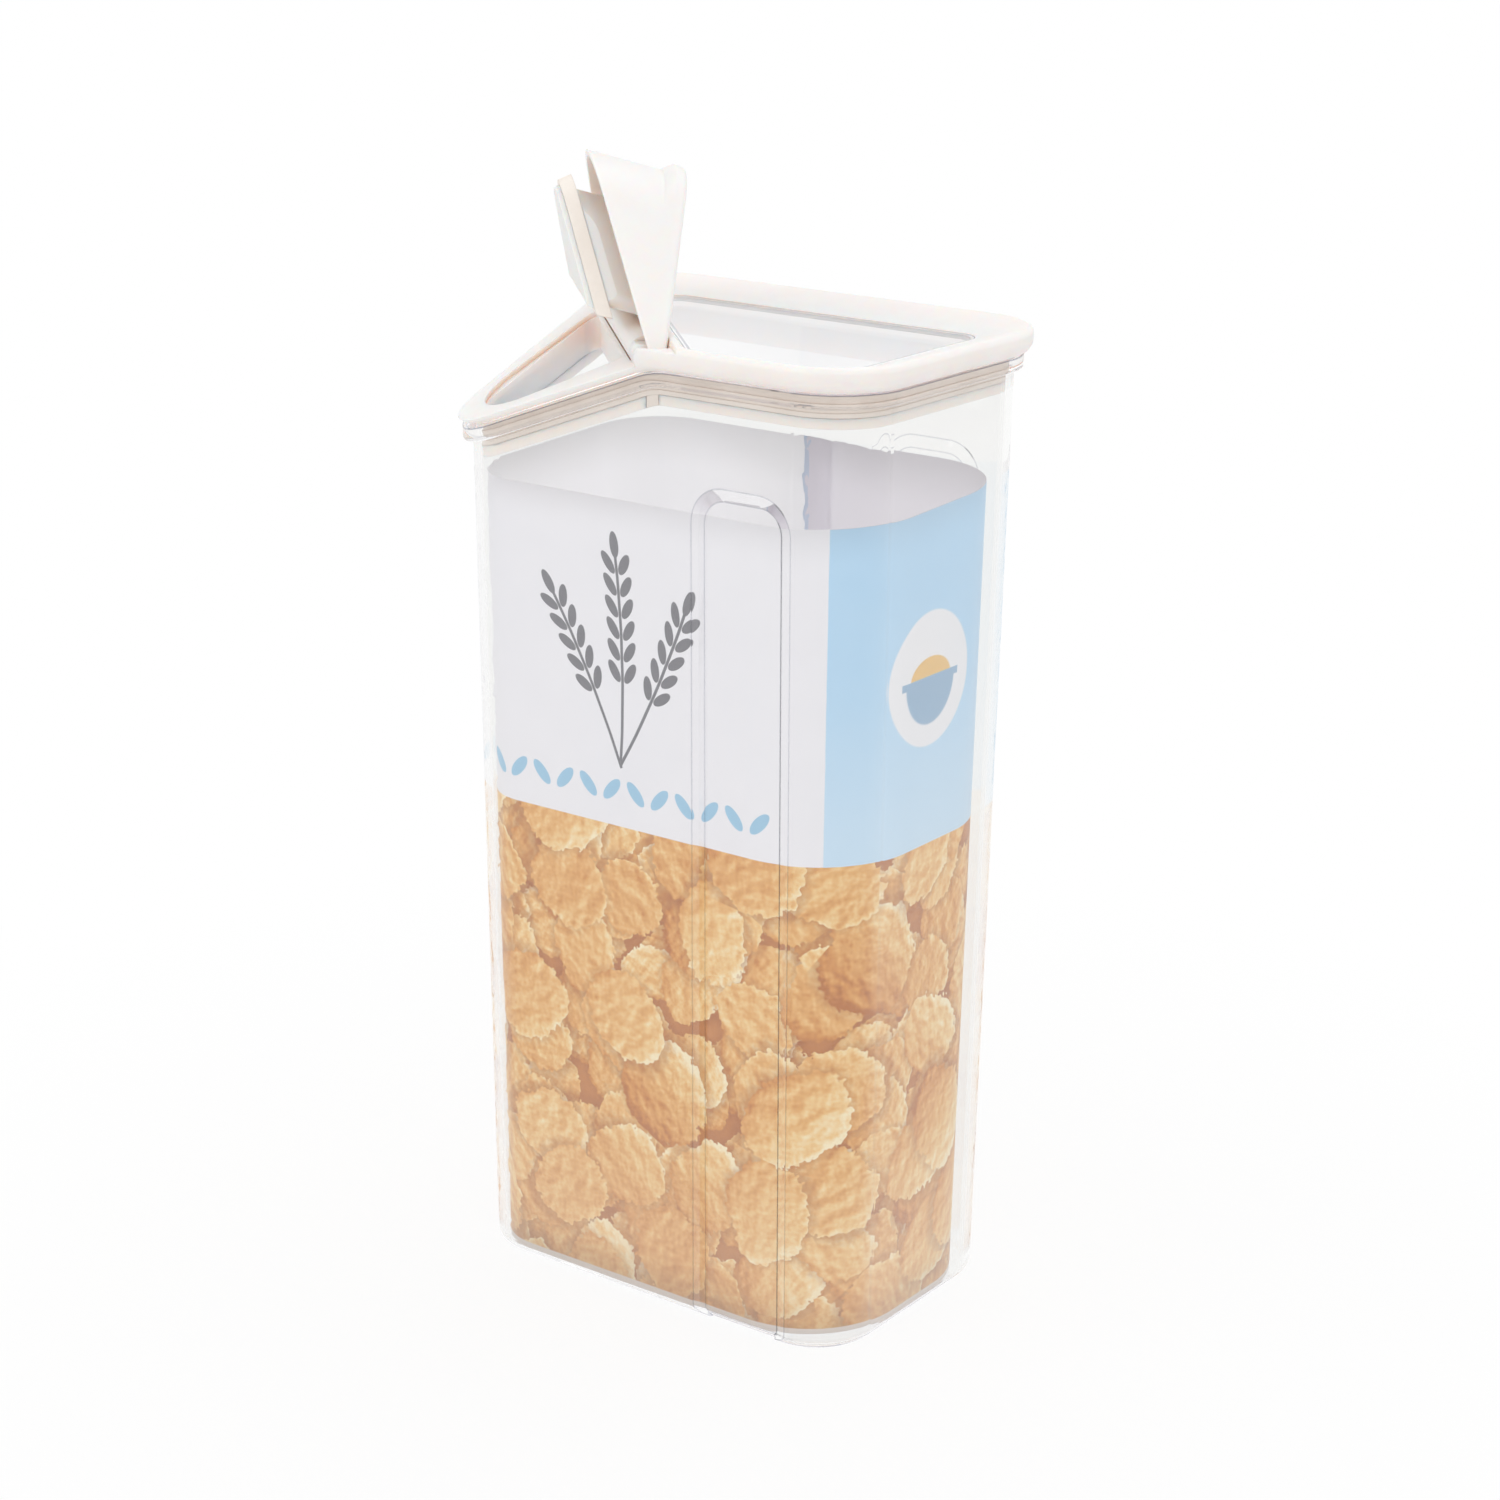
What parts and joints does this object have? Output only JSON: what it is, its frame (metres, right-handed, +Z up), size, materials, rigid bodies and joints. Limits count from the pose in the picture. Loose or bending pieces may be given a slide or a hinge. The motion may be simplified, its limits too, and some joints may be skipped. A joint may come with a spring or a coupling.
{
  "type": "food storage container",
  "caption": "Tall clear rectangular jar for dry food with a lift-off white lid, a see-through pane in the lid and a hinged cap over a sloping pour corner.",
  "frame": {"origin": "middle of the jar's base, on the surface it stands on", "axes": "+Z up, +X along the long side of the jar, +Y along the short side; the pour corner of the lid points to -X and -Y"},
  "size_m": [0.155, 0.105, 0.3405],
  "materials": {
    "clear_jar": "clear, polished",
    "clear_window": "clear, polished",
    "white_plastic": "satin moulded",
    "white_inner": "satin moulded",
    "soft_gasket": "soft matte",
    "soft_seal": "soft matte",
    "printed_card": "printed board, satin"
  },
  "bodies": {
    "container": {"jar_body": "clear_jar", "display_card": "printed_card"},
    "lid": {"lid_frame": "white_plastic", "lid_inner_ring": "white_inner", "lid_gasket": "soft_gasket", "lid_window": "clear_window"},
    "cap": {"cap_cover": "white_plastic", "cap_seal": "soft_seal", "cap_base": "white_inner"}
  },
  "joints": [
    {"name": "lid_lift", "type": "slide", "parent": "container", "child": "lid", "axis": [0, 0, 1], "range_m": [0, 0.06]},
    {"name": "cap_hinge", "type": "hinge", "parent": "lid", "child": "cap", "pos_m": [-0.03428, -0.00928, 0.29047], "axis": [-0.7071, 0.7071, 0], "range_deg": [-105.7, 0]}
  ]
}
